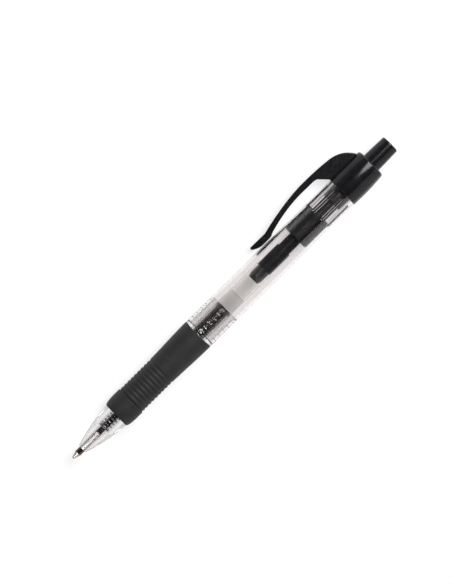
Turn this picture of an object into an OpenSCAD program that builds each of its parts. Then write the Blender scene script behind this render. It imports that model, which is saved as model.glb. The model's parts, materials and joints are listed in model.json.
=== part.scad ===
// Retractable gel pen, modelled from its writing point (z = 0) to its button end,
// with the pocket clip on the +x side, then laid down as it rests on a table.

/* [Lengths] */
// Writing point beyond the nose, with the point out
tip_reach = 4.35; // [3:0.05:6]
// Clear nose in front of the grip
nose_l = 15.3; // [13:0.1:20]
// Rubber grip
grip_l = 36.65; // [30:0.05:48]
// Clear flange between the grip and the rear barrel
flange_l = 1.2; // [0.8:0.1:3]
// Rear barrel, from the flange to the cap
barrel_l = 63.3; // [50:0.1:80]
// Straight front stretch of the rear barrel, before its draft starts
straight_l = 24.5; // [18:0.5:30]
// Threaded neck that screws into the rear barrel
neck_l = 10.8; // [8:0.1:14]
// Rear cap
cap_l = 13.2; // [11:0.1:17]
// Button beyond the cap, with the point out
button_reach = 8.85; // [8:0.05:12]

/* [Radii] */
// Outside of the rear barrel at its straight front stretch
barrel_r = 5.6; // [5.2:0.05:7]
// Wall of the rear barrel at that stretch
barrel_wall = 1.02; // [0.8:0.02:1.3]
// Radius lost to draft from the straight stretch to the cap
barrel_draft = 0.35; // [0:0.05:0.4]
// Nose opening rim, outside
nose_front_r = 1.62; // [1.55:0.01:2]
// Nose where it meets the grip
nose_end_r = 4.45; // [4.3:0.05:4.8]
// Greatest height of the nose's curve over a straight cone
nose_bulge = 0.45; // [0:0.05:0.6]
// Widest place of the cap, proud of the barrel's rear end
cap_proud = 0.5; // [0.3:0.05:0.8]
// Button where it leaves the cap
button_r = 3.38; // [2.8:0.02:3.4]
// Radius the button loses towards its end
button_draft = 0.22; // [0:0.02:0.4]

/* [Grip] */
// Smooth front ring of the grip
grip_ring_r = 5.26; // [5.1:0.02:5.5]
// Crest of each grip rib
grip_rib_r = 5.1; // [5:0.02:5.3]
// Depth of the grooves between the ribs
groove_h = 0.27; // [0.1:0.01:0.35]
// Number of grip ribs
rib_count = 9; // [5:1:12]
// Spacing of the grip ribs
rib_pitch = 1.46; // [1.2:0.02:1.7]
// Front of the grip to its first groove
rib_start = 6.75; // [5:0.25:9]

/* [Clip] */
// Clip in front of the cap
clip_l = 33.5; // [28:0.5:42]
// Width of the clip
clip_w = 4.6; // [3.5:0.1:6]
// Highest place of the clip over the cap
clip_rise = 5.05; // [4:0.05:6.2]
// Thickness of the clip's arm at its highest place
clip_t = 2.1; // [1.6:0.05:2.6]
// Gap between the clip's nub and the straight barrel radius
nub_gap = 0.05; // [0.02:0.01:0.5]

/* [Refill] */
// Outside of the refill tube
tube_r = 3.0; // [2.6:0.05:3.6]
// Wall of the refill tube
tube_wall = 0.65; // [0.6:0.05:1]
// Writing ball
ball_r = 0.35; // [0.25:0.05:0.4]
// Steel writing point, at its straight part
point_r = 1.08; // [0.9:0.01:1.15]
// Cone of the writing point, from the ball to the straight part
cone_l = 2.3; // [2:0.05:3]
// Grease follower behind the ink
follower_l = 7; // [3:0.5:12]
// Empty tube behind the follower
air_l = 7; // [3:0.5:12]
// Ink channel in the point holder
channel_r = 0.65; // [0.5:0.01:0.75]

/* [Mechanism] */
// Stroke from the point out to the point drawn in
retract_stroke = 5.5; // [4.5:0.1:6]
// Further press that frees the cam
press_stroke = 1.2; // [0.8:0.1:1.4]
// Cam ribs in the barrel and grooves on the rotor
cam_count = 8; // [6:1:8]
// Width of a cam rib
cam_rib_w = 0.75; // [0.6:0.05:0.9]
// Height of a cam rib
cam_rib_h = 0.88; // [0.7:0.02:1]
// Length of the cam ribs
cam_l = 9.6; // [8:0.1:11]
// Wide part of the rotor, with its crown
rotor_l = 10.6; // [9:0.1:11.2]
// Stem of the rotor, down to the refill
stem_l = 5.1; // [3:0.1:8]
// Return spring with the point out
spring_l = 13.6; // [12:0.1:18]
// Outside of the return spring
spring_r = 1.95; // [1.95:0.01:2.2]
// Spring wire, radius
wire_r = 0.19; // [0.15:0.01:0.2]
// Turns of the return spring
spring_turns = 13; // [9:1:14]

/* [Fits] */
// Running clearance on the radius
fit_run = 0.07; // [0.04:0.01:0.1]
// Gap between parts that are pushed together and stay so
fit_snug = 0.02; // [0.01:0.01:0.03]
// Free space around a part that passes through
fit_free = 0.2; // [0.15:0.01:0.3]

/* [Hidden] */
$fn = 96;

// Stations along the pen
grip_z = tip_reach + nose_l;
flange_z = grip_z + grip_l;
barrel_z = flange_z + flange_l;
neck_end_z = barrel_z + neck_l;
cap_z = barrel_z + barrel_l;
cap_end_z = cap_z + cap_l;
pen_l = cap_end_z + button_reach;
cam_end_z = cap_z - 1.8;
cam_z = cam_end_z - cam_l;
crown_h = 1.1;
rotor_end_z = cam_z + crown_h;
rotor_z = rotor_end_z - rotor_l;
stem_z = rotor_z - stem_l;
plug_head_l = 9.05;
spigot_l = 4.75;
tube_end_z = stem_z - plug_head_l;
spigot_z = tube_end_z - spigot_l;
follower_z = spigot_z - air_l - follower_l;
spring_z = tip_reach + 9.55;
seat_z = spring_z + spring_l;
seat_l = 1;
tube_z = seat_z + seat_l;
holder_plug_l = 5.5;
holder_z = spring_z - 4;
point_end_z = spring_z - 2.1;
chamber_end_z = seat_z - press_stroke - 0.8;
cap_back_t = 1.4;
tail_l = 10.2;
collar_z = rotor_end_z + 5.4;
collar_end_z = cap_end_z - cap_back_t - retract_stroke - 0.3;

// Radii that follow from the driving ones
bore_r = barrel_r - barrel_wall;
barrel_rear_r = barrel_r - barrel_draft;
tail_r = barrel_rear_r - 0.35;
tail_bore_r = tail_r - 0.6;
cap_r = barrel_rear_r + cap_proud;
cam_inner_r = bore_r - cam_rib_h;
rotor_r = bore_r - fit_run;
thread_r = bore_r + 0.14;
collar_r = cam_inner_r - 0.1;
push_tube_r = collar_r - 0.8;
push_bore_r = button_r - 1.48;
tube_bore_r = tube_r - tube_wall;
tube_way_r = tube_r + fit_free;
core_r = tube_way_r + 0.75;
chamber_r = spring_r + 0.5;
point_way_r = point_r + 0.12;
holder_r = point_r + 0.3;
plug_head_r = tube_r - 0.34;
stem_r = plug_head_r - 0.36;
vent_r = 0.6;

// Clip outline in (station, radius)
nub_r = barrel_r + nub_gap;
clip_r = cap_r + clip_rise;
flex_z = cap_z - 6.9;
clip_tip_z = cap_z - clip_l;
clip_inner_r = clip_r - clip_t;

// Resting attitude: the pen lies on its cap and barrel, and its clip's edge
clip_corner_r = norm([clip_r, clip_w / 2]);
rest_roll = asin(cap_r / clip_corner_r) - atan(clip_w / 2 / clip_r);
reach_y = clip_r * cos(rest_roll) + clip_w / 2 * sin(rest_roll);

module place() {
    translate([pen_l / 2, (reach_y - cap_r) / 2, cap_r])
        rotate([90 + rest_roll, 0, 0])
            rotate([0, -90, 0])
                children();
}

// Points from p0 to p1 on a shallow arc that stands h over the straight line
function arch(p0, p1, h, n) = [
    for (i = [0 : n])
        let (t = i / n)
            p0 + (p1 - p0) * t + [0, 4 * h * t * (1 - t)]
];

// Cubic curve with n + 1 points
function curve(p0, p1, p2, p3, n) = [
    for (i = [0 : n])
        let (t = i / n, s = 1 - t)
            s * s * s * p0 + 3 * s * s * t * p1 + 3 * s * t * t * p2 + t * t * t * p3
];

// Quarter round of radius r about centre c, in (station, radius), from angle a to angle b
function round_corner(c, r, a, b, n) = [
    for (i = [0 : n])
        let (q = a + (b - a) * i / n)
            c + r * [cos(q), sin(q)]
];

// Solid of revolution from an outline in (station, radius)
module turned(points) {
    rotate_extrude()
        polygon([for (p = points) [p[1], p[0]]]);
}

module tube_section(z0, z1, r_out, r_in) {
    translate([0, 0, z0])
        difference() {
            cylinder(r = r_out, h = z1 - z0);
            translate([0, 0, -1])
                cylinder(r = r_in, h = z1 - z0 + 2);
        }
}

// Prism that runs outwards from radius r0 to r1, with its outline in (tangent, station)
module radial_prism(r0, r1, outline) {
    translate([r0, 0, 0])
        rotate([90, 0, 90])
            linear_extrude(height = r1 - r0)
                polygon(outline);
}

module around(count, start = 0) {
    for (i = [0 : count - 1])
        rotate([0, 0, start + i * 360 / count])
            children();
}

// Clear front barrel: nose, core under the grip, flange and threaded neck
module front_barrel() {
    rim = (nose_front_r - point_way_r) * 0.8;
    lead_in = 0.4;
    way_end_z = tip_reach + 1.2;
    outside = concat(
        round_corner([tip_reach + rim, nose_front_r - rim], rim, 180, 100, 5),
        arch([tip_reach + 0.8, nose_front_r + 0.1], [grip_z, nose_end_r], nose_bulge, 14),
        [[grip_z, core_r], [flange_z, core_r], [flange_z, barrel_r], [barrel_z, barrel_r],
         [barrel_z, thread_r], [neck_end_z - lead_in, thread_r], [neck_end_z, thread_r - lead_in]]);
    inside = [[neck_end_z, tube_way_r], [chamber_end_z, tube_way_r], [chamber_end_z, chamber_r],
              [spring_z, chamber_r], [spring_z, holder_r + 0.36], [way_end_z, point_way_r + 0.1],
              [way_end_z, point_way_r], [tip_reach, point_way_r]];
    color([0.86, 0.84, 0.84, 0.45])
        place()
            turned(concat(outside, inside));
}

// Rubber sleeve with a smooth front ring, ribs and a tapered rear
module rubber_grip() {
    z0 = grip_z + fit_snug;
    z1 = flange_z - fit_snug;
    ribs_z = grip_z + rib_start;
    ribs_end_z = ribs_z + rib_count * rib_pitch;
    groove_r = grip_rib_r - groove_h;
    front = concat(
        [[z0, core_r + fit_snug], [z0, nose_end_r + 0.15]],
        curve([z0, nose_end_r + 0.15], [z0 + 0.5, nose_end_r + 0.6],
              [z0 + 2, grip_ring_r], [z0 + 4, grip_ring_r], 8),
        [[ribs_z - 0.35, grip_ring_r]]);
    ribs = [
        for (i = [0 : rib_count - 1], k = [0 : 6])
            [ribs_z + (i + k / 6) * rib_pitch, groove_r + groove_h * sin(180 * k / 6)]
    ];
    rear = curve([ribs_end_z + 0.7, grip_rib_r], [ribs_end_z + 6, grip_rib_r + 0.1],
                 [z1 - 6, barrel_r - 0.06], [z1, barrel_r - 0.02], 10);
    color([0.16, 0.16, 0.16])
        place()
            turned(concat(front, ribs, rear, [[z1, core_r + fit_snug]]));
}

// Clear rear barrel with the female neck socket, cam ribs and the tail that the cap sits on
module rear_barrel() {
    draft_z = barrel_z + straight_l;
    socket_end_z = neck_end_z + 0.3;
    tail_end_z = cap_z + tail_l;
    wall_bite = 0.3;
    shell = [[barrel_z + fit_snug, barrel_r], [draft_z, barrel_r], [cap_z, barrel_rear_r],
             [cap_z, tail_r], [tail_end_z, tail_r], [tail_end_z, tail_bore_r],
             [cam_end_z, tail_bore_r], [cam_end_z, bore_r], [socket_end_z, bore_r],
             [socket_end_z, thread_r + fit_run], [barrel_z + fit_snug, thread_r + fit_run]];
    rib = [[-cam_rib_w / 2, cam_z], [cam_rib_w / 2, cam_z + cam_rib_w],
           [cam_rib_w / 2, cam_end_z + 0.1], [-cam_rib_w / 2, cam_end_z + 0.1]];
    color([0.86, 0.84, 0.84, 0.45])
        place()
            union() {
                turned(shell);
                around(cam_count, 180 / cam_count)
                    radial_prism(cam_inner_r, bore_r + wall_bite, rib);
            }
}

// Outline of the web that carries the clip, from the flexing place to the cap
function web_outline() = concat(
    curve([flex_z, clip_r], [flex_z + 4.1, clip_r], [cap_z + 1.2, clip_r - 0.18],
          [cap_z + 4.6, clip_r - 0.6], 8),
    curve([cap_z + 4.6, clip_r - 0.6], [cap_z + 6.8, clip_r - 0.9], [cap_z + 9.8, clip_r - 1.8],
          [cap_z + 11.95, cap_r - 0.35], 9),
    [[cap_z + 11.5, cap_r - 0.6], [cap_z + 0.4, cap_r - 0.6], [cap_z + 0.1, cap_r - 0.25]],
    curve([cap_z - 2.5, clip_inner_r - 0.5], [cap_z - 3.1, clip_inner_r + 0.05],
          [cap_z - 4.2, clip_inner_r + 0.05], [flex_z, clip_inner_r], 7));

// Black rear cap with its clip web
module rear_cap() {
    belly_z = cap_z + 4.7;
    corner = 0.8;
    shoulder_z = cap_end_z - corner;
    shoulder_r = cap_r - 0.38;
    front_belly = [for (i = [0 : 4]) [cap_z + 4.7 * i / 4, cap_r - 0.1 * pow(1 - i / 4, 2)]];
    rear_belly = [
        for (i = [1 : 6])
            [belly_z + (shoulder_z - belly_z) * i / 6, cap_r - 0.38 * pow(i / 6, 2)]
    ];
    shell = concat(
        front_belly, rear_belly,
        round_corner([shoulder_z, shoulder_r - corner], corner, 75, 0, 5),
        [[cap_end_z, button_r + fit_run], [cap_end_z - cap_back_t, button_r + fit_run],
         [cap_end_z - cap_back_t, tail_r + fit_snug], [cap_z + fit_snug, tail_r + fit_snug],
         [cap_z + fit_snug, cap_r - 0.2]]);
    color([0.09, 0.09, 0.1])
        place()
            union() {
                turned(shell);
                difference() {
                    rotate([90, 0, 0])
                        translate([0, 0, -clip_w / 2])
                            linear_extrude(height = clip_w)
                                polygon([for (p = web_outline()) [p[1], p[0]]]);
                    translate([0, 0, cap_z - 5])
                        cylinder(r = tail_r + fit_snug + 0.3, h = cap_l + 5);
                }
            }
}

// Springy arm of the clip, with the nub that lies over the barrel
module pocket_clip() {
    nub_flat = 2.8;
    heel_z = clip_tip_z + 6.7;
    nub_z = clip_tip_z + 3.9;
    split = 0.05;
    outline = concat(
        [[clip_tip_z, nub_r + 1.45], [clip_tip_z, nub_r + 2.3]],
        curve([heel_z, nub_r + 2.2], [heel_z + 5.5, nub_r + 3.6],
              [flex_z - 6.4, clip_r], [flex_z - split, clip_r], 14),
        curve([flex_z - split, clip_inner_r], [flex_z - 5.4, clip_inner_r + 0.25],
              [flex_z - 10.9, clip_inner_r - 0.35], [clip_tip_z + 9, nub_r + 0.75], 12),
        curve([clip_tip_z + 8.6, nub_r + 0.6], [clip_tip_z + 8.2, nub_r + 0.35],
              [nub_z + nub_flat + 1, nub_r], [nub_z + nub_flat, nub_r], 5),
        curve([nub_z, nub_r], [nub_z - 1.4, nub_r], [clip_tip_z + 1.6, nub_r + 0.5],
              [clip_tip_z + 0.2, nub_r + 1.25], 6));
    color([0.09, 0.09, 0.1])
        place()
            rotate([90, 0, 0])
                translate([0, 0, -clip_w / 2])
                    linear_extrude(height = clip_w)
                        polygon([for (p = outline) [p[1], p[0]]]);
}

// Teeth on the rotor's rear face; grow widens them to cut the notches that they sit in
module crown_teeth(grow) {
    half = PI * push_tube_r / cam_count * 0.6 + grow;
    around(cam_count)
        radial_prism(push_bore_r + 0.15 - grow, push_tube_r - 0.15 + grow,
                     [[-half, rotor_end_z - 0.2], [half, rotor_end_z - 0.2],
                      [half, rotor_end_z + 0.7 + grow], [-half, rotor_end_z + 0.1 + grow]]);
}

// Button with the push tube and collar that it has inside the cap
module push_button() {
    end_r = button_r - button_draft;
    corner = 0.5;
    dome = 0.12;
    outline = concat(
        [[rotor_end_z + fit_snug, push_bore_r], [rotor_end_z + fit_snug, push_tube_r],
         [collar_z, push_tube_r], [collar_z + 0.3, collar_r], [collar_end_z, collar_r],
         [collar_end_z, button_r], [cap_end_z, button_r]],
        round_corner([pen_l - dome - corner, end_r - corner], corner, 85, 10, 5),
        [[pen_l - dome * 0.4, end_r * 0.6], [pen_l, 0], [pen_l - 1.6, 0],
         [pen_l - 1.6, push_bore_r]]);
    color([0.1, 0.1, 0.11])
        place()
            difference() {
                turned(outline);
                crown_teeth(0.05);
            }
}

// Rotor: stem, wide grooved body and crown
module cam_rotor() {
    groove_half = cam_rib_w / 2 + 0.1;
    groove_floor_r = cam_inner_r - 0.1;
    deep = [[-groove_half, rotor_z - 1], [groove_half, rotor_z - 1],
            [groove_half, rotor_end_z + 1], [-groove_half, rotor_end_z + 1]];
    shallow = [[-groove_half, rotor_end_z + 0.01], [groove_half, rotor_end_z + 0.01],
               [groove_half, rotor_end_z - crown_h + 0.2], [-groove_half, rotor_end_z - 0.35]];
    chamfer = 0.5;
    body = [[stem_z, vent_r], [stem_z, stem_r], [rotor_z, stem_r], [rotor_z, rotor_r - chamfer],
            [rotor_z + chamfer, rotor_r], [rotor_end_z, rotor_r], [rotor_end_z, vent_r]];
    color([0.08, 0.08, 0.09])
        place()
            union() {
                difference() {
                    turned(body);
                    around(cam_count, 180 / cam_count)
                        radial_prism(groove_floor_r, bore_r + 1, deep);
                    around(cam_count)
                        radial_prism(groove_floor_r, bore_r + 1, shallow);
                }
                crown_teeth(0);
            }
}

// Helical return spring: a ring of wire_sides points swept along the helix
module return_spring() {
    wire_sides = 6;
    ring_steps = 18;
    coil_r = spring_r - wire_r;
    steps = spring_turns * ring_steps;
    z0 = spring_z + wire_r + fit_snug;
    rise = spring_l - 2 * wire_r - 2 * fit_snug;
    end_turns = 1.5;
    closed_rise = end_turns * (2 * wire_r + 0.04);
    // Height of the wire's centre after so many turns: close at both ends, open between them
    function height(turn) =
        turn < end_turns ? turn * closed_rise / end_turns :
        turn > spring_turns - end_turns ?
            rise - (spring_turns - turn) * closed_rise / end_turns :
            closed_rise + (turn - end_turns) * (rise - 2 * closed_rise) / (spring_turns - 2 * end_turns);
    points = [
        for (i = [0 : steps], k = [0 : wire_sides - 1])
            let (turn = i / ring_steps, q = 360 * k / wire_sides, r = coil_r + wire_r * cos(q))
                [r * cos(360 * turn), r * sin(360 * turn), z0 + height(turn) + wire_r * sin(q)]
    ];
    sides = [
        for (i = [0 : steps - 1], k = [0 : wire_sides - 1])
            let (a = i * wire_sides + k, b = i * wire_sides + (k + 1) % wire_sides)
                [a, a + wire_sides, b + wire_sides, b]
    ];
    start_cap = [for (k = [0 : wire_sides - 1]) k];
    end_cap = [for (k = [wire_sides - 1 : -1 : 0]) steps * wire_sides + k];
    color([0.62, 0.62, 0.64])
        place()
            polyhedron(points = points, faces = concat([start_cap], sides, [end_cap]));
}

module refill_tube() {
    color([0.9, 0.9, 0.9, 0.5])
        place()
            tube_section(tube_z + fit_snug, tube_end_z - fit_snug, tube_r, tube_bore_r);
}

// Ink, in the holder's channel and in the tube
module ink_column() {
    slack = fit_snug / 2;
    step_z = tube_z + holder_plug_l + fit_snug;
    color([0.03, 0.03, 0.04])
        place()
            turned([[point_end_z + fit_snug, 0], [point_end_z + fit_snug, channel_r - slack],
                    [step_z, channel_r - slack], [step_z, tube_bore_r - slack],
                    [follower_z, tube_bore_r - slack], [follower_z, 0]]);
}

// Clear grease that follows the ink down the tube
module ink_follower() {
    slack = fit_snug / 2;
    color([0.75, 0.78, 0.74, 0.6])
        place()
            turned([[follower_z + slack, 0], [follower_z + slack, tube_bore_r - slack],
                    [follower_z + follower_l, tube_bore_r - slack], [follower_z + follower_l, 0]]);
}

// Plug in the tube's tail, with a vent, that the rotor pushes on
module tail_plug() {
    pilot_l = 0.9;
    spigot_r = tube_bore_r - fit_snug;
    color([0.07, 0.07, 0.09])
        place()
            turned([[spigot_z, vent_r], [spigot_z, spigot_r - 0.2],
                    [spigot_z + pilot_l, spigot_r - 0.2], [spigot_z + pilot_l, spigot_r],
                    [tube_end_z, spigot_r], [tube_end_z, plug_head_r],
                    [stem_z - fit_snug, plug_head_r], [stem_z - fit_snug, vent_r]]);
}

// Clear holder of the writing point, with the seat that the spring pushes on
module tip_holder() {
    plug_end_z = tube_z + holder_plug_l;
    color([0.88, 0.88, 0.88, 0.5])
        place()
            turned([[holder_z, point_r + fit_snug], [holder_z, holder_r], [seat_z, holder_r],
                    [seat_z, tube_r - 0.1], [tube_z, tube_r - 0.1],
                    [tube_z, tube_bore_r - fit_snug], [plug_end_z, tube_bore_r - fit_snug],
                    [plug_end_z, channel_r], [point_end_z, channel_r],
                    [point_end_z, point_r + fit_snug]]);
}

// Steel writing point with the socket that holds the ball
module writing_tip() {
    lip_z = ball_r * 0.8;
    feed_r = ball_r * 0.6;
    pocket_r = ball_r + 0.015;
    color([0.55, 0.5, 0.46])
        place()
            difference() {
                turned([[lip_z, 0], [lip_z, ball_r + 0.06], [cone_l, point_r - 0.06],
                        [cone_l + 0.15, point_r], [point_end_z - fit_snug, point_r],
                        [point_end_z - fit_snug, 0]]);
                translate([0, 0, ball_r])
                    sphere(r = pocket_r);
                translate([0, 0, ball_r])
                    cylinder(r = feed_r, h = point_end_z);
            }
}

module tip_ball() {
    color([0.7, 0.7, 0.72])
        place()
            translate([0, 0, ball_r])
                sphere(r = ball_r);
}

front_barrel();
rubber_grip();
rear_barrel();
rear_cap();
pocket_clip();
push_button();
cam_rotor();
return_spring();
refill_tube();
ink_column();
ink_follower();
tail_plug();
tip_holder();
writing_tip();
tip_ball();
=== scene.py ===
"""Looks of the gel pen: smooth clear shells with their thread and cam ribs, one-piece cap and clip,
rubber grip, refill and mechanism, on a pale floor in soft light."""

import json
import math

import bpy
import numpy as np
from mathutils import Matrix, Vector


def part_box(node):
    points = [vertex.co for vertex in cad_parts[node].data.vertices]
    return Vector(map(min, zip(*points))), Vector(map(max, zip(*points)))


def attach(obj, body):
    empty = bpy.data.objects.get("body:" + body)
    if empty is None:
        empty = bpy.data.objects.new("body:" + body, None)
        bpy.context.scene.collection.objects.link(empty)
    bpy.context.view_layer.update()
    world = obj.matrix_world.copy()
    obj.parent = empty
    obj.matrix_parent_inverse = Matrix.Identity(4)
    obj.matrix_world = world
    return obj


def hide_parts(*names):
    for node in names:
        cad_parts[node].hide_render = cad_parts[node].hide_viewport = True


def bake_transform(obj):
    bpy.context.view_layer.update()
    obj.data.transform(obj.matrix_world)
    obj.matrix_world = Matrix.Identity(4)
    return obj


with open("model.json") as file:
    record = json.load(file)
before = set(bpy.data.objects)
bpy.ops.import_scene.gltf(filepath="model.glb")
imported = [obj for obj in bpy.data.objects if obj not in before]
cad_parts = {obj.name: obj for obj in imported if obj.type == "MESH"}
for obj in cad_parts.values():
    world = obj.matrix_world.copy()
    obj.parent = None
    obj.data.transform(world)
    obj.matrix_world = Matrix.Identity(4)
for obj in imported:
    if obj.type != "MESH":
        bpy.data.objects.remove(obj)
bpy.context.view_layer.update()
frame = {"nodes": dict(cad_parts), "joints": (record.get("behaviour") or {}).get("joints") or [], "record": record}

# ------------------------------------------------------------------ the pen's own frame, in mm
# u: station from the writing ball towards the button, v: towards the clip, w: sideways
mounts = {m["name"]: m for m in frame["record"]["mounts"]}
joints = {j["name"]: j for j in frame["joints"]}
MM = 0.001
ALONG = Vector((-1.0, 0.0, 0.0))
SIDE = -Vector(joints["clip_flex"]["axis"]).normalized()
CLIP = SIDE.cross(ALONG)
TIP = Vector((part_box("tip_ball")[1].x, *mounts["barrel_sleeve"]["pos_m"][1:]))
BASIS = np.array([ALONG, CLIP, SIDE])


def at(u, v=0.0, w=0.0):
    return TIP + (ALONG * u + CLIP * v + SIDE * w) * MM


def ends(node):
    """Stations of a CAD node's front and rear end."""
    low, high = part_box(node)
    return (TIP.x - high.x) / MM, (TIP.x - low.x) / MM


def radius(node):
    """Largest radius of a CAD node that is round all along."""
    low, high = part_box(node)
    return (high.z - low.z) / 2 / MM


# lengths
CLIP_ROOT_L = 6.9  # the clip's arm, from where it flexes to the cap
CAM_TO_CAP = 1.8
CAM_L = 9.6
PUSH_TUBE_L = 5.4
COLLAR_TO_END = 7.2
STRAIGHT_L = 24.5  # barrel without draft
LAP = 0.02  # pieces that touch keep this small gap or overlap
RUN = 0.07  # running clearance of parts that turn or slide in one another
EASY = 0.03  # clearance of parts pressed together
CAM_COUNT = 8
CAM_TURN = 2 * math.pi / CAM_COUNT
RIB_HALF = 0.375  # half the width of a cam rib
RIB_FOOT = 0.1  # how far its foot reaches to either side
THREAD_LEAD = 1.98
THREAD_DEPTH = 0.1
THREAD_STEP = THREAD_LEAD / 24

grip_z, flange_z = ends("rubber_grip")
nose_z, neck_end = ends("front_barrel")
barrel_z, tail_end = ends("rear_barrel")
flex_z, cap_end = ends("rear_cap")
cap_z = flex_z + CLIP_ROOT_L
crown_z, pen_end = ends("push_button")
rotor_end = crown_z - LAP
tube_z, tube_end = ends("refill_tube")
holder_z, holder_plug_end = ends("tip_holder")
plug_z, stem_z = ends("tail_plug")
ink_z, follower_z = ends("ink_column")
follower_end = ends("ink_follower")[1]
point_end = ends("writing_tip")[1]
spring_z, seat_z = ends("return_spring")
clip_tip = ends("pocket_clip")[0]
cam_end = cap_z - CAM_TO_CAP
cam_z = cam_end - CAM_L
collar_z = rotor_end + PUSH_TUBE_L
collar_end = cap_end - COLLAR_TO_END
straight_end = barrel_z + STRAIGHT_L

barrel_r = radius("rear_barrel")
cap_r = 5.75
rear_r = cap_r - 0.5
bore_r = barrel_r - 1.02
thread_r = bore_r + 0.14
tail_r = rear_r - 0.35
tail_bore_r = tail_r - 0.6
rib_r = bore_r - 0.88
collar_r = rib_r - 0.1
push_tube_r = collar_r - 0.8
button_r = 3.38
push_bore_r = button_r - 1.48
tube_r = radius("refill_tube")
tube_bore_r = tube_r - 0.65
tube_way_r = tube_r + 0.2
core_r = tube_way_r + 0.75
chamber_r = 2.45
point_r = radius("writing_tip")
point_way_r = point_r + 0.12
holder_r = point_r + 0.3
channel_r = 0.65
ball_r = radius("tip_ball")
nose_r = 1.62
nose_end_r = 4.45
nose_bulge = 0.45
clip_r = cap_r + 5.05
clip_inner_r = clip_r - 2.1
nub_r = barrel_r + 0.05
clip_half = 2.3


# ------------------------------------------------------------------ mesh tools
def finish_mesh(name, vertices, faces, sharp=35.0):
    """Object from vertices in the pen's frame (mm), faces turned outwards, smooth but for its sharp edges."""
    world = np.array(TIP) + np.asarray(vertices, float) @ BASIS * MM
    mesh = bpy.data.meshes.new(name)
    mesh.from_pydata([tuple(p) for p in world], [], faces)
    mesh.validate()
    volume = 0.0
    for poly in mesh.polygons:
        ids = list(poly.vertices)
        a = world[ids[0]]
        for i in range(1, len(ids) - 1):
            volume += float(np.dot(a, np.cross(world[ids[i]], world[ids[i + 1]])))
    if volume < 0:
        mesh.flip_normals()
    mesh.shade_smooth()
    mesh.set_sharp_from_angle(angle=math.radians(sharp))
    obj = bpy.data.objects.new(name, mesh)
    bpy.context.scene.collection.objects.link(obj)
    return obj


def rounded(points, steps=5):
    """Closed outline in (station, radius); a third number in a point rounds that corner."""
    out = []
    for i, p in enumerate(points):
        here = np.array(p[:2], float)
        size = p[2] if len(p) > 2 else 0.0
        before = np.array(points[i - 1][:2], float) - here
        after = np.array(points[(i + 1) % len(points)][:2], float) - here
        la, lb = np.linalg.norm(before), np.linalg.norm(after)
        if size <= 0 or la < 1e-6 or lb < 1e-6:
            out.append(here)
            continue
        size = min(size, 0.45 * la, 0.45 * lb)
        start, end = here + before / la * size, here + after / lb * size
        for k in range(steps + 1):
            t = k / steps
            out.append((1 - t) ** 2 * start + 2 * t * (1 - t) * here + t * t * end)
    return out


def curve(p0, p1, p2, p3, n):
    """Points of a cubic curve."""
    p0, p1, p2, p3 = (np.array(p, float) for p in (p0, p1, p2, p3))
    ts = np.linspace(0, 1, n + 1)
    return [(1 - t) ** 3 * p0 + 3 * (1 - t) ** 2 * t * p1 + 3 * (1 - t) * t * t * p2 + t**3 * p3 for t in ts]


def supported(rows):
    """Add a row close to each end of a long stretch, so that its shading stays flat; the shape stays."""
    edge, long = 0.05, 0.5
    out = []
    for i, row in enumerate(rows):
        after = rows[(i + 1) % len(rows)]
        gap = float(np.linalg.norm(after - row, axis=1).mean())
        out.append(row)
        if gap > long:
            out += [row + (after - row) * t for t in (edge / gap, 1 - edge / gap)]
    return out


def round_grid(name, rows, sharp=35.0):
    """Closed surface from rows of (u, v, w) points, each row a ring round the axis.
    A ring that lies on the axis becomes one point."""
    vertices, ids = [], []
    rows = supported([np.asarray(row, float) for row in rows])
    for row in rows:
        if np.abs(row[:, 1:]).max() < 1e-6:
            ids.append([len(vertices)] * len(row))
            vertices.append(row[0])
        else:
            ids.append(list(range(len(vertices), len(vertices) + len(row))))
            vertices.extend(row)
    faces = []
    for i in range(len(rows)):
        a, b = ids[i], ids[(i + 1) % len(rows)]
        if a[0] == a[1] and b[0] == b[1]:
            continue
        for j in range(len(a)):
            k = (j + 1) % len(a)
            quad = [a[j], a[k], b[k], b[j]]
            face = [q for n, q in enumerate(quad) if q not in quad[:n]]
            if len(face) > 2:
                faces.append(face)
    return finish_mesh(name, vertices, faces, sharp)


def ring(u, r, angles):
    """Ring of points; u and r are numbers, or one number for each angle."""
    u = np.broadcast_to(np.asarray(u, float), angles.shape)
    r = np.broadcast_to(np.asarray(r, float), angles.shape)
    return np.stack([u, r * np.cos(angles), r * np.sin(angles)], axis=1)


def lathe(name, points, segments=144, sharp=35.0):
    angles = np.linspace(0, 2 * math.pi, segments, endpoint=False)
    return round_grid(name, [ring(u, r, angles) for u, r in points], sharp)


def arch(p0, p1, h, n):
    """Points on a shallow arc that stands h over the straight line from p0 to p1."""
    ts = np.linspace(0, 1, n + 1)
    return [(p0[0] + (p1[0] - p0[0]) * t, p0[1] + (p1[1] - p0[1]) * t + 4 * h * t * (1 - t)) for t in ts]


def smooth(x):
    """0 below 0, 1 above 1, with a soft step between them."""
    x = np.clip(x, 0, 1)
    return x * x * (3 - 2 * x)


def thread_height(u, angles):
    """0 at the thread's root, 1 at its crest; right-handed."""
    crest_half, flank = 0.35, 0.2
    phase = ((u - barrel_z) / THREAD_LEAD - angles / (2 * math.pi)) % 1.0
    return smooth((crest_half - np.abs(phase - 0.5)) / flank)


def thread_fade(u, first, last):
    """0 up to station first and from station last on, 1 between them."""
    run = 0.5
    return smooth((u - first) / run) * smooth((last - u) / run)


# ------------------------------------------------------------------ materials
def material(name):
    mat = bpy.data.materials.new(name)
    mat.use_nodes = True
    nt = mat.node_tree
    return mat, nt, nt.nodes["Principled BSDF"]


def coordinates(nt, stretch=(1, 1, 1)):
    """Object coordinates, in metres, stretched."""
    source = nt.nodes.new("ShaderNodeTexCoord")
    mapping = nt.nodes.new("ShaderNodeMapping")
    mapping.inputs["Scale"].default_value = stretch
    nt.links.new(source.outputs["Object"], mapping.inputs["Vector"])
    return mapping.outputs["Vector"]


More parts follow.
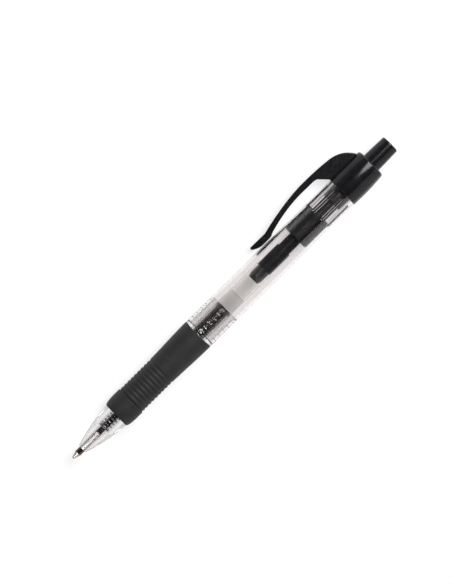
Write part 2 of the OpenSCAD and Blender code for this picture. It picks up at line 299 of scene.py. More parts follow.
def noise(nt, vector, scale, detail=3.0, rough=0.55):
    node = nt.nodes.new("ShaderNodeTexNoise")
    node.inputs["Scale"].default_value = scale
    node.inputs["Detail"].default_value = detail
    node.inputs["Roughness"].default_value = rough
    nt.links.new(vector, node.inputs["Vector"])
    return node.outputs["Fac"]


def spread(nt, value, low, high, start=0.3, end=0.7):
    """Map a noise value to low .. high."""
    node = nt.nodes.new("ShaderNodeMapRange")
    node.inputs["From Min"].default_value = start
    node.inputs["From Max"].default_value = end
    node.inputs["To Min"].default_value = low
    node.inputs["To Max"].default_value = high
    nt.links.new(value, node.inputs["Value"])
    return node.outputs["Result"]


def tint(nt, value, dark, light, start=0.3, end=0.7):
    """Colour between dark and light by a noise value."""
    node = nt.nodes.new("ShaderNodeMix")
    node.data_type = "RGBA"
    node.inputs["A"].default_value = (*dark, 1)
    node.inputs["B"].default_value = (*light, 1)
    nt.links.new(spread(nt, value, 0, 1, start, end), node.inputs["Factor"])
    return node.outputs["Result"]


def set_marks(ramp, marks):
    """Give a colour ramp its marks, each a position and a colour; the ramp starts out with two."""
    elements = ramp.color_ramp.elements
    for i, (position, tone) in enumerate(marks):
        mark = elements[i] if i < 2 else elements.new(position)
        mark.position = position
        mark.color = (*tone, 1)


def bump(nt, height, strength, distance, normal=None):
    node = nt.nodes.new("ShaderNodeBump")
    node.inputs["Strength"].default_value = strength
    node.inputs["Distance"].default_value = distance
    nt.links.new(height, node.inputs["Height"])
    if normal is not None:
        nt.links.new(normal, node.inputs["Normal"])
    return node.outputs["Normal"]


def clear_plastic(name, dark, light, rough, ior, shadow, haze=0.0):
    """Clear moulded plastic: faint clouding and flow lines along the pen; lamps reach what is behind it."""
    mat, nt, bsdf = material(name)
    clouds = noise(nt, coordinates(nt), 160, 3)
    flow = noise(nt, coordinates(nt, (0.06, 1, 1)), 900, 2)
    nt.links.new(tint(nt, clouds, dark, light), bsdf.inputs["Base Color"])
    nt.links.new(spread(nt, flow, rough[0], rough[1]), bsdf.inputs["Roughness"])
    nt.links.new(bump(nt, flow, 0.02, 0.00001), bsdf.inputs["Normal"])
    bsdf.inputs["Transmission Weight"].default_value = 1.0 - haze
    bsdf.inputs["IOR"].default_value = ior
    passing = nt.nodes.new("ShaderNodeBsdfTransparent")
    passing.inputs["Color"].default_value = (*shadow, 1)
    path = nt.nodes.new("ShaderNodeLightPath")
    mix = nt.nodes.new("ShaderNodeMixShader")
    out = nt.nodes["Material Output"]
    nt.links.new(path.outputs["Is Shadow Ray"], mix.inputs[0])
    nt.links.new(bsdf.outputs[0], mix.inputs[1])
    nt.links.new(passing.outputs[0], mix.inputs[2])
    nt.links.new(mix.outputs[0], out.inputs["Surface"])
    return mat


def black_plastic(name, base, rough, grain, level):
    """Black moulded plastic: slow waves of the mould, hairline wear and a little dust in the gloss."""
    mat, nt, bsdf = material(name)
    waves = noise(nt, coordinates(nt), 420, 2)
    hair = noise(nt, coordinates(nt, (0.05, 1, 1)), 5200, 4, 0.6)
    fine = noise(nt, coordinates(nt), grain, 4, 0.6)
    dark, light = [0.7 * c for c in base], [1.35 * c for c in base]
    nt.links.new(tint(nt, waves, dark, light), bsdf.inputs["Base Color"])
    nt.links.new(spread(nt, hair, rough[0], rough[1]), bsdf.inputs["Roughness"])
    first = bump(nt, fine, 0.05, 0.00001)
    nt.links.new(bump(nt, waves, 0.08, 0.00002, first), bsdf.inputs["Normal"])
    bsdf.inputs["IOR"].default_value = 1.5
    bsdf.inputs["Specular IOR Level"].default_value = level
    return mat


def satin_inside(mat):
    """Make the button's surface satin where it is inside the barrel."""
    nt = mat.node_tree
    bsdf = nt.nodes["Principled BSDF"]
    source = nt.nodes.new("ShaderNodeTexCoord")
    parts = nt.nodes.new("ShaderNodeSeparateXYZ")
    nt.links.new(source.outputs["Object"], parts.inputs[0])
    inside = spread(nt, parts.outputs["X"], 0, 0.22, TIP.x - cap_end * MM, TIP.x - (cap_end - 2) * MM)
    add = nt.nodes.new("ShaderNodeMath")
    nt.links.new(inside, add.inputs[0])
    nt.links.new(bsdf.inputs["Roughness"].links[0].from_socket, add.inputs[1])
    nt.links.new(add.outputs[0], bsdf.inputs["Roughness"])
    return mat


def metal(name, dark, light, rough, rings, aniso):
    """Turned or drawn metal: fine rings round the pen's axis and a tone with random stains."""
    mat, nt, bsdf = material(name)
    patchiness = noise(nt, coordinates(nt), 900, 4)
    turned = noise(nt, coordinates(nt, (1, 0.02, 0.02)), rings, 2)
    nt.links.new(tint(nt, patchiness, dark, light), bsdf.inputs["Base Color"])
    nt.links.new(spread(nt, turned, rough[0], rough[1]), bsdf.inputs["Roughness"])
    nt.links.new(bump(nt, turned, 0.15, 0.000006), bsdf.inputs["Normal"])
    bsdf.inputs["Metallic"].default_value = 1.0
    bsdf.inputs["Anisotropic"].default_value = aniso
    return mat


def point_steel():
    """Turned steel point: bright cone with painted shade towards its edges, a dark brown band where it leaves the
    nose whose darkness is a painted dark reflection, dull and pale inside it.
    """
    mat, nt, bsdf = material("tip_steel")
    source = nt.nodes.new("ShaderNodeTexCoord")
    parts = nt.nodes.new("ShaderNodeSeparateXYZ")
    nt.links.new(source.outputs["Object"], parts.inputs[0])
    turned = noise(nt, coordinates(nt, (1, 0.02, 0.02)), 16000, 2)
    patchiness = noise(nt, coordinates(nt), 2600, 3)
    wobble = nt.nodes.new("ShaderNodeMath")
    wobble.operation = "MULTIPLY_ADD"
    wobble.inputs[1].default_value = 0.25 * MM
    nt.links.new(patchiness, wobble.inputs[0])
    nt.links.new(parts.outputs["X"], wobble.inputs[2])
    zones = nt.nodes.new("ShaderNodeValToRGB")
    dull = nt.nodes.new("ShaderNodeValToRGB")
    first, last = 0.0, nose_z + 2
    scale = spread(nt, wobble.outputs[0], 1, 0, TIP.x - last * MM, TIP.x - first * MM)
    # station and tone, station and roughness
    dark_band_end, inside = nose_z - 0.2, nose_z + 0.2
    # the band from station 2.4 to just short of the nose keeps the steel's brown tint, darkened as a painted dark
    # reflection
    tones = [(0.5, (0.62, 0.54, 0.48)), (1.0, (0.8, 0.74, 0.7)), (2.2, (0.72, 0.64, 0.58)),
             (2.4, (0.1, 0.078, 0.064)), (dark_band_end, (0.095, 0.07, 0.056)), (inside, (0.52, 0.51, 0.5))]
    gloss = [(0.5, 0.2), (1.0, 0.22), (2.3, 0.22), (2.5, 0.24), (dark_band_end, 0.24), (inside, 0.55)]
    for ramp, marks in ((zones, tones), (dull, [(u, (g, g, g)) for u, g in gloss])):
        nt.links.new(scale, ramp.inputs[0])
        set_marks(ramp, [((u - first) / (last - first), tone) for u, tone in marks])
    # painted shade: the turned cone's colour darkens towards its edges as they turn away from the view; the shank
    # inside the nose gets none
    dim = 0.12
    cone_edge = spread(nt, parts.outputs["X"], 1.0, dim, TIP.x - 2.9 * MM, TIP.x - 2.4 * MM)
    weight = nt.nodes.new("ShaderNodeLayerWeight")
    weight.inputs["Blend"].default_value = 0.5
    shade = spread(nt, weight.outputs["Facing"], 1.0, dim, 0.12, 0.5)
    nt.links.new(cone_edge, shade.node.inputs["To Max"])
    edge = nt.nodes.new("ShaderNodeVectorMath")
    edge.operation = "SCALE"
    nt.links.new(zones.outputs[0], edge.inputs[0])
    nt.links.new(shade, edge.inputs["Scale"])
    nt.links.new(edge.outputs[0], bsdf.inputs["Base Color"])
    nt.links.new(dull.outputs[0], bsdf.inputs["Roughness"])
    nt.links.new(bump(nt, turned, 0.1, 0.000004), bsdf.inputs["Normal"])
    bsdf.inputs["Metallic"].default_value = 1.0
    return mat


def grip_rubber():
    """Matte rubber with fine pores."""
    mat, nt, bsdf = material("grip_rubber")
    patches = noise(nt, coordinates(nt), 260, 4)
    pores = noise(nt, coordinates(nt), 5200, 5, 0.65)
    tone = tint(nt, patches, (0.0085, 0.0085, 0.009), (0.014, 0.014, 0.0145))
    nt.links.new(tone, bsdf.inputs["Base Color"])
    nt.links.new(spread(nt, pores, 0.5, 0.72), bsdf.inputs["Roughness"])
    nt.links.new(bump(nt, pores, 0.35, 0.00003), bsdf.inputs["Normal"])
    bsdf.inputs["Sheen Weight"].default_value = 0.03
    bsdf.inputs["Sheen Roughness"].default_value = 0.5
    bsdf.inputs["Specular IOR Level"].default_value = 0.26
    return mat


# the clear barrels' grey is partly the plastic's own faint pink tint and partly painted shade, the shade behind
# the pen seen through it
CLEAR = clear_plastic("clear_barrel", (0.82, 0.8, 0.797), (0.846, 0.826, 0.824),
                      (0.0, 0.03), 1.5, (0.9, 0.88, 0.88))
FRONT = clear_plastic("clear_front", (0.795, 0.782, 0.779), (0.821, 0.808, 0.806),
                      (0.0, 0.03), 1.5, (0.92, 0.91, 0.91))
REFILL = clear_plastic("refill_clear", (0.94, 0.94, 0.93), (0.97, 0.97, 0.962),
                       (0.03, 0.1), 1.49, (0.88, 0.88, 0.87), haze=0.006)
HOLDER = clear_plastic("holder_clear", (0.94, 0.93, 0.92), (0.97, 0.965, 0.96),
                       (0.0, 0.05), 1.49, (0.92, 0.92, 0.92))
GREASE = clear_plastic("follower_grease", (0.975, 0.98, 0.968), (0.99, 0.995, 0.985),
                       (0.0, 0.06), 1.45, (0.88, 0.89, 0.87))
RUBBER = grip_rubber()
MOULDED_BLACK = ((0.006, 0.006, 0.0072), (0.1, 0.18), 9000, 0.25)
GLOSS = black_plastic("black_gloss", *MOULDED_BLACK)
BUTTON = satin_inside(black_plastic("black_button", *MOULDED_BLACK))
WORKS = black_plastic("black_mechanism", (0.006, 0.006, 0.007), (0.28, 0.42), 6000, 0.15)
INK = black_plastic("black_ink", (0.006, 0.006, 0.007), (0.18, 0.32), 3000, 0.5)
STEEL = point_steel()
WIRE = metal("spring_wire", (0.2, 0.2, 0.205), (0.3, 0.3, 0.305), (0.2, 0.34), 9000, 0.2)
CARBIDE = metal("ball_carbide", (0.5, 0.5, 0.52), (0.62, 0.62, 0.64), (0.08, 0.18), 12000, 0.0)


def piece(obj, mat, body, slot, *nodes):
    """Give a piece its material, body and the CAD nodes it stands in for; the slot argument is not used."""
    obj.data.materials.clear()
    obj.data.materials.append(mat)
    if body:
        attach(obj, body)
    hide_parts(*nodes)
    return obj


# ------------------------------------------------------------------ clear front barrel
def front_barrel():
    """Nose, core under the grip, flange, threaded neck and the bore with the spring's chamber."""
    angles = np.linspace(0, 2 * math.pi, 160, endpoint=False)
    rim = 0.36
    way_end = nose_z + 1.2
    chamber_end = seat_z - 2.0
    flange_end = barrel_z - 0.01
    root_r = thread_r - THREAD_DEPTH
    front = [(nose_z + rim - rim * math.cos(q), nose_r - rim + rim * math.sin(q))
             for q in np.radians([0, 20, 40, 60, 80])]
    skin = arch((nose_z + 0.8, nose_r + 0.1), (grip_z, nose_end_r), nose_bulge, 26)
    flange = rounded([(grip_z, core_r), (flange_z, core_r), (flange_z, barrel_r, 0.3),
                      (flange_end, barrel_r, 0.4), (flange_end, root_r, 0.08)])
    rows = [ring(u, r, angles) for u, r in front + skin + flange]
    for u in np.arange(barrel_z + 0.1, neck_end - 0.3, THREAD_STEP):
        fade = thread_fade(u, barrel_z + 0.5, neck_end - 0.4)
        rows.append(ring(u, thread_r - THREAD_DEPTH * (1 - thread_height(u, angles) * fade), angles))
    inside = rounded([(neck_end, root_r, 0.18), (neck_end, tube_way_r, 0.12),
                      (chamber_end, tube_way_r, 0.1), (chamber_end, chamber_r, 0.1),
                      (spring_z, chamber_r, 0.08), (spring_z, holder_r + 0.36, 0.06),
                      (way_end, point_way_r + 0.1, 0.05), (way_end, point_way_r, 0.05),
                      (nose_z, point_way_r)])
    rows += [ring(u, r, angles) for u, r in inside]
    return round_grid("front_barrel_shell", rows)


# ------------------------------------------------------------------ clear rear barrel with its cam ribs
def rib_columns():
    """Angles of the shell's columns, and for those on a rib their (radial, tangent) place on it."""
    half = RIB_HALF
    on_rib = [(None, -half - RIB_FOOT), (bore_r - 0.06, -half - 0.02), (bore_r - 0.14, -half),
              (rib_r + 0.1, -half + 0.02), (rib_r + 0.02, -half + 0.06), (rib_r, -half + 0.13), (rib_r, 0.0)]
    flat = [-half - RIB_FOOT, -half - 0.06, -half - 0.02, -half + 0.03, -half + 0.08, -half + 0.13, 0.0]
    place = on_rib + [(x, -t) for x, t in reversed(on_rib[:-1])]
    spots = flat + [-t for t in reversed(flat[:-1])]
    gap = math.asin((half + RIB_FOOT) / bore_r)
    angles, on = [], []
    for k in range(CAM_COUNT):
        centre = (k + 0.5) * CAM_TURN
        for (x, t), s in zip(place, spots):
            angles.append(centre + math.asin(s / bore_r))
            on.append(None if x is None else (centre, x, t))
        for a in np.linspace(gap, CAM_TURN - gap, 10)[1:-1]:
            angles.append(centre + a)
            on.append(None)
    return np.array(angles), on


def rear_barrel():
    """Barrel with a light draft, tail for the cap, ribs that end in slanted cam teeth, threaded socket."""
    angles, on = rib_columns()
    half = RIB_HALF
    socket_r = thread_r + RUN
    socket_end = neck_end + 0.3
    shell_end = cap_z - 0.01
    outside = rounded([(barrel_z, socket_r), (barrel_z, barrel_r, 0.25), (straight_end, barrel_r),
                       (shell_end, rear_r, 0.05), (shell_end, tail_r, 0.04), (tail_end, tail_r, 0.1),
                       (tail_end, tail_bore_r, 0.1), (cam_end + 0.2, tail_bore_r)])
    rows = [ring(u, r, angles) for u, r in outside[1:]]

    def ribbed(u, r_plain):
        """Ring that follows the ribs; u is a number, or one for each column."""
        points = ring(u, r_plain, angles)
        for j, spot in enumerate(on):
            if spot is not None:
                centre, x, t = spot
                points[j, 1] = x * math.cos(centre) - t * math.sin(centre)
                points[j, 2] = x * math.sin(centre) + t * math.cos(centre)
        return points

    is_rib = np.array([spot is not None for spot in on])
    rows.append(ring(cam_end + 0.1, tail_bore_r, angles))
    rows.append(ribbed(np.where(is_rib, cam_end + 0.08, cam_end + 0.02), tail_bore_r))
    rows.append(ribbed(cam_end, bore_r))
    for back in (0.15, 2.4, 4.8, 7.2):
        rows.append(ribbed(cam_end - back, bore_r))
    # the ribs' ends slant over their width, and between them the ring slopes back to meet the next rib
    tooth = 0.12
    local = (angles % CAM_TURN) - CAM_TURN / 2
    tangent = bore_r * np.sin(local)
    turn = (local % CAM_TURN) / CAM_TURN
    between = np.abs(tangent) > half + tooth
    slant = np.where(between, 2 * half * (1 - (turn - 0.1) / 0.8), np.clip(tangent, -half, half) + half)
    rows.append(ribbed(cam_z + slant + tooth, bore_r))
    rows.append(ring(cam_z + slant, bore_r, angles))
    for u in (cam_z - 1.5, cam_z - 12, cam_z - 26):
        rows.append(ring(u, bore_r, angles))
    rows.append(ring(socket_end, bore_r, angles))
    rows.append(ring(socket_end, socket_r, angles))
    for u in np.arange(socket_end - 0.1, barrel_z + 0.1, -THREAD_STEP):
        fade = thread_fade(u, barrel_z + 0.4, socket_end - 0.2)
        rows.append(ring(u, socket_r - THREAD_DEPTH * (1 - thread_height(u, angles)) * fade, angles))
    rows.append(ring(barrel_z, socket_r, angles))
    return round_grid("rear_barrel_shell", rows)


# ------------------------------------------------------------------ rubber grip
def grip():
    """Swollen front ring, nine ribs, and a long stretch that widens to the barrel."""
    z0, z1 = grip_z, flange_z
    ring_r, crest_r, depth, pitch, count, per_rib = 5.26, 5.1, 0.27, 1.46, 9, 8
    ribs_z = grip_z + 6.75 - 0.02
    points = [(z0, core_r + EASY), (z0, nose_end_r + 0.08)]
    points += curve((z0 + 0.02, nose_end_r + 0.15), (z0 + 0.5, nose_end_r + 0.6),
                    (z0 + 2, ring_r), (z0 + 4, ring_r), 14)
    points.append((ribs_z - 0.4, ring_r))
    points.append((ribs_z - 0.22, ring_r - 0.06))
    for k in range(count * per_rib + 1):
        wave = math.sin(math.pi * (k % per_rib) / per_rib) ** 0.7
        points.append((ribs_z + k / per_rib * pitch, crest_r - depth + depth * wave))
    ribs_end = ribs_z + count * pitch
    points.append((ribs_end + 0.35, crest_r - 0.07))
    points += curve((ribs_end + 0.7, crest_r), (ribs_end + 6, crest_r + 0.1), (z1 - 6, barrel_r - 0.06),
                    (z1 - 0.12, barrel_r - 0.02), 12)
    points += [(z1 - 0.03, barrel_r - 0.06), (z1, barrel_r - 0.15), (z1, core_r + EASY)]
    return lathe("grip_sleeve", points, 160, 50)


# ------------------------------------------------------------------ cap and clip, one moulding
def cap():
    """Slightly bellied cap with a rounded rear corner and a hole for the button."""
    front, belly, corner, back = cap_z + 0.12, cap_z + 4.7, 0.8, 1.4
    front_drop, rear_drop = 0.1, 0.38
    shoulder = cap_end - corner
    centre_r = cap_r - rear_drop - corner
    hole_r = button_r + RUN
    points = [(cap_z, tail_r + EASY), (cap_z, cap_r - 0.22), (cap_z + 0.05, cap_r - 0.14)]
    points += [(front + (belly - front) * i / 6, cap_r - front_drop * (1 - i / 6) ** 2) for i in range(7)]
    points += [(belly + (shoulder - belly) * i / 12, cap_r - rear_drop * (i / 12) ** 2) for i in range(1, 13)]
    points += [(shoulder + corner * math.cos(q), centre_r + corner * math.sin(q))
               for q in np.radians([72, 54, 36, 18, 2])]
    points += [(cap_end, button_r + 0.2), (cap_end - 0.05, button_r + 0.11), (cap_end - 0.14, hole_r),
               (cap_end - back, hole_r), (cap_end - back, tail_r + EASY)]
    return lathe("rear_cap_ring", points, 160)


def clip_outline():
    """Clip arm and web as one closed outline in (station, radius)."""
    top = [(clip_tip, nub_r + 1.5), (clip_tip + 0.02, nub_r + 2.12), (clip_tip + 0.2, nub_r + 2.28)]
    top += curve((clip_tip + 6.7, nub_r + 2.2), (clip_tip + 12.2, nub_r + 3.6),
                 (flex_z - 6.4, clip_r), (flex_z, clip_r), 22)
    top += curve((flex_z, clip_r), (flex_z + 4.1, clip_r),
                 (cap_z + 1.2, clip_r - 0.18), (cap_z + 4.6, clip_r - 0.6), 10)[1:]
    top += curve((cap_z + 4.6, clip_r - 0.6), (cap_z + 6.8, clip_r - 0.9), (cap_z + 9.8, clip_r - 1.8),
                 (cap_z + 11.95, cap_r - 0.35), 12)[1:]
    bottom = [(cap_z + 11.5, cap_r - 0.6), (cap_z + 0.4, cap_r - 0.6), (cap_z + 0.1, cap_r - 0.25)]
    bottom += curve((cap_z - 2.5, clip_inner_r - 0.5), (cap_z - 3.1, clip_inner_r + 0.05),
                    (cap_z - 4.2, clip_inner_r + 0.05), (flex_z, clip_inner_r), 12)
    bottom += curve((flex_z, clip_inner_r), (flex_z - 5.4, clip_inner_r + 0.25),
                    (flex_z - 10.9, clip_inner_r - 0.35), (clip_tip + 9, nub_r + 0.75), 16)[1:]
    bottom += curve((clip_tip + 8.6, nub_r + 0.6), (clip_tip + 8.2, nub_r + 0.35), (clip_tip + 7.7, nub_r),
                    (clip_tip + 6.7, nub_r), 6)
    bottom += curve((clip_tip + 3.9, nub_r), (clip_tip + 2.5, nub_r), (clip_tip + 1.6, nub_r + 0.5),
                    (clip_tip + 0.2, nub_r + 1.25), 9)
    return np.array([tuple(p) for p in top + bottom])


def even_steps(outline, count):
    """The closed outline again as count points at even steps."""
    closed = np.vstack([outline, outline[:1]])
    lengths = np.concatenate([[0], np.cumsum(np.linalg.norm(np.diff(closed, axis=0), axis=1))])
    marks = np.linspace(0, lengths[-1], count, endpoint=False)
    return np.stack([np.interp(marks, lengths, closed[:, k]) for k in (0, 1)], axis=1)


def clip():
    """Clip arm and web with rounded edges; the arm's tip is rounded off as seen from above."""
    count, soft, tip_r = 260, 0.3, 1.3
    line = even_steps(clip_outline(), count)
    along = np.roll(line, -1, axis=0) - np.roll(line, 1, axis=0)
    along /= np.linalg.norm(along, axis=1)[:, None]
    inward = np.stack([along[:, 1], -along[:, 0]], axis=1)
    area = 0.5 * np.sum(line[:, 0] * np.roll(line[:, 1], -1) - np.roll(line[:, 0], -1) * line[:, 1])
    if area > 0:
        inward = -inward
    rows = [(line + inward * (soft + 0.07), clip_half)]
    for q in np.radians([90, 67.5, 45, 22.5, 0]):
        rows.append((line + inward * soft * (1 - math.cos(q)), clip_half - soft * (1 - math.sin(q))))
    levels = rows + [(ring_line, -w) for ring_line, w in reversed(rows)]
    vertices = []
    for ring_line, w in levels:
        reach = np.clip(ring_line[:, 0] - clip_tip, 0, tip_r)
        half = clip_half - tip_r + np.sqrt(tip_r ** 2 - (tip_r - reach) ** 2)
        vertices += [(p[0], p[1], w * h / clip_half) for p, h in zip(ring_line, half)]
    faces = []
    for i in range(len(levels) - 1):
        for j in range(count):
            k = (j + 1) % count
            faces.append([i * count + j, i * count + k, (i + 1) * count + k, (i + 1) * count + j])
    faces.append(list(range(count))[::-1])
    faces.append([(len(levels) - 1) * count + j for j in range(count)])
    return finish_mesh("clip_and_web", vertices, faces, 40)


# ------------------------------------------------------------------ button with its push tube and collar
def button():
    """Button with a domed end, collar behind the cap's wall, and a push tube notched at its front."""
    angles = np.linspace(0, 2 * math.pi, 176, endpoint=False)
    end_r = button_r - 0.22
    corner, dome_h, end_wall = 0.5, 0.12, 1.6
    half = math.pi * push_tube_r / CAM_COUNT * 0.6 + 0.05
    tangent = push_tube_r * (((angles + CAM_TURN / 2) % CAM_TURN) - CAM_TURN / 2)
    notch = np.where(np.abs(tangent) <= half, 0.17 + 0.6 * (tangent + half) / (2 * half), 0.0)
    notch_end, bore_end = crown_z + 1.2, pen_end - end_wall
    dome = [(pen_end - dome_h - corner + corner * math.sin(q), end_r - corner + corner * math.cos(q))
            for q in np.radians([0, 15, 30, 45, 60, 78])]
    points = rounded([(collar_z, push_tube_r), (collar_z + 0.3, collar_r, 0.08), (collar_end, collar_r, 0.1),
                      (collar_end, button_r, 0.04), (cap_end, button_r - 0.002)])
    points += dome + [(pen_end - 0.05, end_r * 0.62), (pen_end - 0.012, end_r * 0.3), (pen_end, 0.0)]
    points += rounded([(bore_end, 0.0), (bore_end, push_bore_r, 0.2), (crown_z + 4, push_bore_r)])
    rows = [ring(crown_z + notch, push_bore_r, angles), ring(crown_z + notch, push_tube_r - 0.04, angles),
            ring(crown_z + 0.04 + notch, push_tube_r, angles), ring(notch_end, push_tube_r, angles)]
    rows += [ring(u, r, angles) for u, r in points]
    rows.append(ring(notch_end, push_bore_r, angles))
    return round_grid("push_button_body", rows)


# ------------------------------------------------------------------ refill
def tube():
    """Refill tube, open at both ends."""
    return lathe("refill_tube_wall", rounded([
        (tube_z, tube_bore_r, 0.1), (tube_z, tube_r, 0.12),
        (tube_end, tube_r, 0.12), (tube_end, tube_bore_r, 0.1)]), 128)


def ink():
    """Wets the holder's channel, and stands just off the tube's wall."""
    step = holder_plug_end + LAP
    channel, column = channel_r + 0.012, tube_bore_r - 0.03
    points = [(ink_z, 0), (ink_z, channel), (step, channel), (step, column)]
    points += [(follower_z - 0.5, column), (follower_z - 0.02, tube_bore_r - 0.06),
               (follower_z - 0.25, tube_bore_r * 0.8), (follower_z - 0.42, tube_bore_r * 0.5),
               (follower_z - 0.5, 0)]
    return lathe("ink_column_body", points, 96)


def follower():
    """Wets the tube's wall; hollow where it meets the ink and the air."""
    wet_r = tube_bore_r + 0.01
    points = [(follower_z - 0.46, 0), (follower_z - 0.38, tube_bore_r * 0.5),
              (follower_z - 0.2, tube_bore_r * 0.8), (follower_z + 0.04, wet_r), (follower_end, wet_r),
              (follower_end - 0.12, tube_bore_r * 0.86), (follower_end - 0.22, tube_bore_r * 0.5),
              (follower_end - 0.26, 0)]
    return lathe("ink_follower_body", points, 96, 60)


def plug():
    """Plug with a pilot, a spigot in the tube and a head behind it."""
    head_r, bore = tube_r - 0.34, 0.6
    spigot_r = tube_bore_r - LAP
    pilot_r, pilot_end, head_z = spigot_r - 0.4, plug_z + 0.9, tube_end + LAP
    return lathe("tail_plug_body", rounded([
        (plug_z, bore, 0.06), (plug_z, pilot_r, 0.15), (pilot_end, pilot_r, 0.05),
        (pilot_end, spigot_r, 0.2), (head_z, spigot_r), (head_z, head_r, 0.14),
        (stem_z, head_r, 0.18), (stem_z, bore, 0.1)]), 112)


def holder():
    """Holder of the point: sleeve round the shank, seat for the spring, plug in the tube, ink channel."""
    grip_r, seat_r, plug_r = point_r + LAP, tube_r - 0.1, tube_bore_r - LAP
    seat_end, shank_end = tube_z - LAP, point_end + LAP
    return lathe("point_holder_body", rounded([
        (holder_z, grip_r, 0.05), (holder_z, holder_r, 0.14), (seat_z, holder_r, 0.08),
        (seat_z, seat_r, 0.12), (seat_end, seat_r, 0.1), (seat_end, plug_r, 0.05),
        (holder_plug_end, plug_r, 0.12), (holder_plug_end, channel_r, 0.05),
        (shank_end, channel_r), (shank_end, grip_r)]), 112)


def point():
    """Steel point: crimped lip, cone with a fine shoulder, straight shank, and the ball's socket."""
    lip = ball_r * 0.8
    socket_r = ball_r + 0.014
    socket = [(ball_r + socket_r * math.cos(q), socket_r * math.sin(q))
              for q in np.radians([0, 18, 36, 54, 72, 88, 101])]
    outside = [(lip - 0.005, ball_r + 0.045), (lip + 0.05, ball_r + 0.085), (0.62, 0.49), (0.66, 0.515),
               (2.24, 1.0), (2.3, 1.035), (2.45, point_r - 0.005), (2.5, point_r),
               (point_end - 0.12, point_r), (point_end, point_r - 0.1), (point_end, 0)]
    return lathe("writing_point", socket + outside, 96, 25)


def ball():
    """Writing ball."""
    points = [(ball_r * (1 - math.cos(q)), ball_r * math.sin(q)) for q in np.linspace(0, math.pi, 25)]
    return lathe("writing_ball", points, 48)


def spring():
    """Return spring: close at both ends, open between them."""
    turns, end_turns, sides, per_turn = 13, 1.5, 12, 48
    wire, outer_r = 0.19, 1.95
    coil_r = outer_r - wire
    z0, z1 = spring_z + wire + LAP, seat_z - wire - LAP
    closed = end_turns * (2 * wire + 0.04)
    rise = z1 - z0
    turn = np.linspace(0, turns, turns * per_turn + 1)
    middle = closed + (turn - end_turns) * (rise - 2 * closed) / (turns - 2 * end_turns)
    height = np.where(turn < end_turns, turn * closed / end_turns,
                      np.where(turn > turns - end_turns, rise - (turns - turn) * closed / end_turns, middle))
    vertices, faces = [], []
    for t, h in zip(turn, height):
        a = 2 * math.pi * t
        for k in range(sides):
            q = 2 * math.pi * k / sides
            r = coil_r + wire * math.cos(q)
            vertices.append((z0 + h + wire * math.sin(q), r * math.cos(a), r * math.sin(a)))
    for i in range(len(turn) - 1):
        for k in range(sides):
            m = (k + 1) % sides
            faces.append([i * sides + k, i * sides + m, (i + 1) * sides + m, (i + 1) * sides + k])
    faces.append(list(range(sides))[::-1])
    faces.append([(len(turn) - 1) * sides + k for k in range(sides)])
    return finish_mesh("return_spring_coil", vertices, faces, 60)


# ------------------------------------------------------------------ pieces on their bodies
piece(front_barrel(), FRONT, "front_section", "clear_barrel", "front_barrel")
piece(grip(), RUBBER, "front_section", "grip_rubber", "rubber_grip")
piece(rear_barrel(), CLEAR, "rear_body", "clear_barrel", "rear_barrel")
piece(cap(), GLOSS, "rear_body", "black_gloss", "rear_cap")
arm = piece(clip(), GLOSS, None, "black_gloss", "pocket_clip")
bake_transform(arm)
piece(button(), BUTTON, "knock", "black_gloss", "push_button")
piece(tube(), REFILL, "refill", "refill_clear", "refill_tube")
piece(ink(), INK, "refill", "black_ink", "ink_column")
piece(follower(), GREASE, "refill", "follower_grease", "ink_follower")
piece(plug(), WORKS, "refill", "black_mechanism", "tail_plug")
piece(holder(), HOLDER, "refill", "holder_clear", "tip_holder")
piece(point(), STEEL, "refill", "tip_steel", "writing_tip")
piece(ball(), CARBIDE, "ball", "ball_carbide", "tip_ball")
coil = piece(spring(), WIRE, None, "spring_wire", "return_spring")
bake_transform(coil)
rotor = frame["nodes"]["cam_rotor"]
rotor.data.materials.clear()
rotor.data.materials.append(WORKS)


# ------------------------------------------------------------------ floor, light and camera
FLOOR_HALF = 3.0  # metres
corners = [(s * FLOOR_HALF, t * FLOOR_HALF, 0) for s, t in ((-1, -1), (1, -1), (1, 1), (-1, 1))]
floor_mesh = bpy.data.meshes.new("studio_floor")
floor_mesh.from_pydata(corners, [], [(0, 1, 2, 3)])
floor = bpy.data.objects.new("studio_floor", floor_mesh)
bpy.context.scene.collection.objects.link(floor)
floor_mat, nt, bsdf = material("pale_floor")
paper = noise(nt, coordinates(nt), 700, 4)
nt.links.new(tint(nt, paper, (0.25, 0.25, 0.25), (0.27, 0.27, 0.27)), bsdf.inputs["Base Color"])
bsdf.inputs["Roughness"].default_value = 0.9
bsdf.inputs["Specular IOR Level"].default_value = 0.1
bsdf.inputs["Emission Color"].default_value = (1, 1, 1, 1)
bsdf.inputs["Emission Strength"].default_value = 0.69
floor.data.materials.append(floor_mat)

middle = at(71.4)


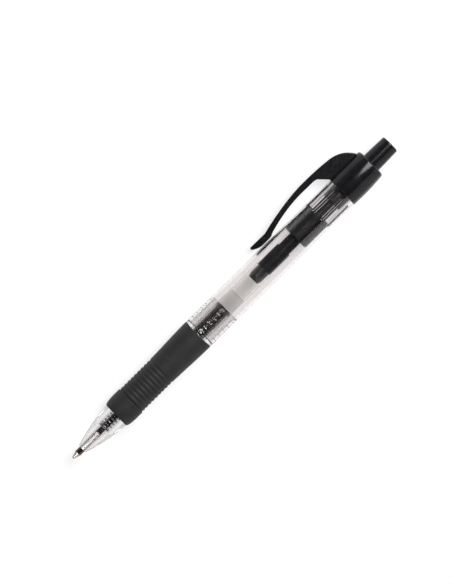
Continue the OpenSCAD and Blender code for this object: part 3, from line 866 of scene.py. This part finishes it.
def area_light(name, back, distance, radiance, size, size_y=None):
    """Soft light that faces the middle of the pen: a disc, or a rectangle when it has a second size."""
    data = bpy.data.lights.new(name, "AREA")
    data.shape = "DISK"
    data.size = size
    area = math.pi * size * size / 4
    if size_y is not None:
        data.shape = "RECTANGLE"
        data.size_y = size_y
        area = size * size_y
    data.energy = radiance * math.pi * area
    obj = bpy.data.objects.new(name, data)
    bpy.context.scene.collection.objects.link(obj)
    back = back.normalized()
    side = ALONG.cross(back).normalized()
    turn = Matrix((side, back.cross(side), back)).transposed()
    obj.matrix_world = Matrix.Translation(middle + back * distance) @ turn.to_4x4()


def leaning(degrees, towards):
    """Direction that leans from the camera's side of the pen."""
    q = math.radians(degrees)
    return SIDE * math.cos(q) + towards * math.sin(q)


area_light("key_disc", leaning(31.5, ALONG), 0.7, 12.0, 0.5)
area_light("low_card", leaning(75, -CLIP), 0.45, 0.92, 0.42, 1.0)
area_light("front_disc", leaning(45, -ALONG), 0.65, 9.0, 0.16)

# the room is pale near the floor and dark overhead
world = bpy.data.worlds.new("studio")
world.use_nodes = True
nt = world.node_tree
sky = nt.nodes["Background"]
source = nt.nodes.new("ShaderNodeTexCoord")
parts = nt.nodes.new("ShaderNodeSeparateXYZ")
ramp = nt.nodes.new("ShaderNodeValToRGB")
set_marks(ramp, [(0.03, (0.9, 0.9, 0.91)), (0.7, (0.04, 0.04, 0.042)), (0.16, (0.3, 0.3, 0.305))])
nt.links.new(source.outputs["Generated"], parts.inputs[0])
nt.links.new(parts.outputs["Z"], ramp.inputs[0])
nt.links.new(ramp.outputs[0], sky.inputs["Color"])
bpy.context.scene.world = world

# the camera looks at the pen's side, with the writing point down at the left and the clip above
TURN = math.radians(44.7)
FRAME_HEIGHT = 0.1863
DISTANCE = 1.6
target = at(72.16, 3.31)
right = ALONG * math.cos(TURN) - CLIP * math.sin(TURN)
up = ALONG * math.sin(TURN) + CLIP * math.cos(TURN)
camera_data = bpy.data.cameras.new("camera")
camera = bpy.data.objects.new("camera", camera_data)
bpy.context.scene.collection.objects.link(camera)
axes = Matrix((right, up, SIDE)).transposed().to_4x4()
camera.matrix_world = Matrix.Translation(target + SIDE * DISTANCE) @ axes
camera_data.sensor_width = 36
camera_data.lens = 36 * DISTANCE / FRAME_HEIGHT
camera_data.clip_start = 0.05
camera_data.clip_end = 20
bpy.context.scene.camera = camera
bpy.context.scene.view_settings.view_transform = "Standard"
